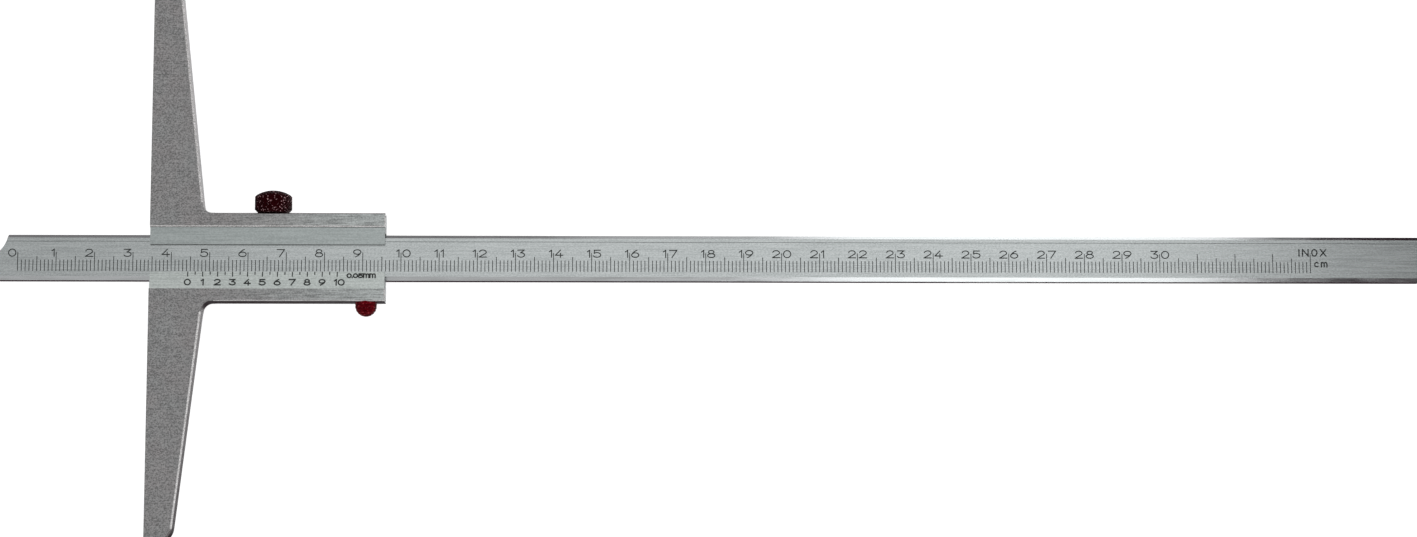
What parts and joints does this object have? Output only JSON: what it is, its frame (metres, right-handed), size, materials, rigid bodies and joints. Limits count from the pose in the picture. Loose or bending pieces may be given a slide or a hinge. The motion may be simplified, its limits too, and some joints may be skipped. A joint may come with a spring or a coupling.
{
  "type": "vernier depth gauge",
  "caption": "Vernier depth gauge: a wide bridge with tapered arms, a slider with a vernier plate and knurled lock screw, and a long graduated beam that slides through it.",
  "frame": {"origin": "on the bridge's measuring face (X = 0), on the beam's centreline (Y = 0), at the back of the bridge (Z = 0)", "axes": "+X along the beam, away from the work that is measured; +Y across the beam, towards the lock screw; +Z out of the graduated face"},
  "size_m": [0.379, 0.15, 0.0097],
  "materials": {
    "ground_steel": "matt, finely ground along the beam",
    "satin_chrome": "satin chrome, glare-free",
    "screw_steel": "bright turned steel",
    "blackened_steel": "chemically blackened, oiled",
    "brass": "drawn, dull"
  },
  "bodies": {
    "bridge": {"bridge_body": "ground_steel", "retaining_strip": "satin_chrome", "strip_screws": "screw_steel", "vernier_plate": "satin_chrome", "vernier_screws": "screw_steel", "gib_leaf": "brass", "gib_screws": "screw_steel", "thumb_stud": "blackened_steel"},
    "beam": {"beam": "satin_chrome", "end_stop_screw": "screw_steel"},
    "shoe": {"pressure_shoe": "brass"},
    "lock": {"lock_screw": "blackened_steel"}
  },
  "joints": [
    {"name": "beam_slide", "type": "slide", "parent": "bridge", "child": "beam", "axis": [-1, 0, 0], "range_m": [-0.0444, 0.2556]},
    {"name": "lock_travel", "type": "slide", "parent": "bridge", "child": "shoe", "axis": [0, -1, 0], "range_m": [-0.0005, 0.0002]},
    {"name": "lock_turn", "type": "hinge", "parent": "shoe", "child": "lock", "pos_m": [0.0319, 0.01165, 0.00305], "axis": [0, -1, 0], "range_deg": [-360, 144]}
  ],
  "couplings": [
    {"joint": "lock_turn", "follows": "lock_travel", "rad_per_m": 12566}
  ]
}
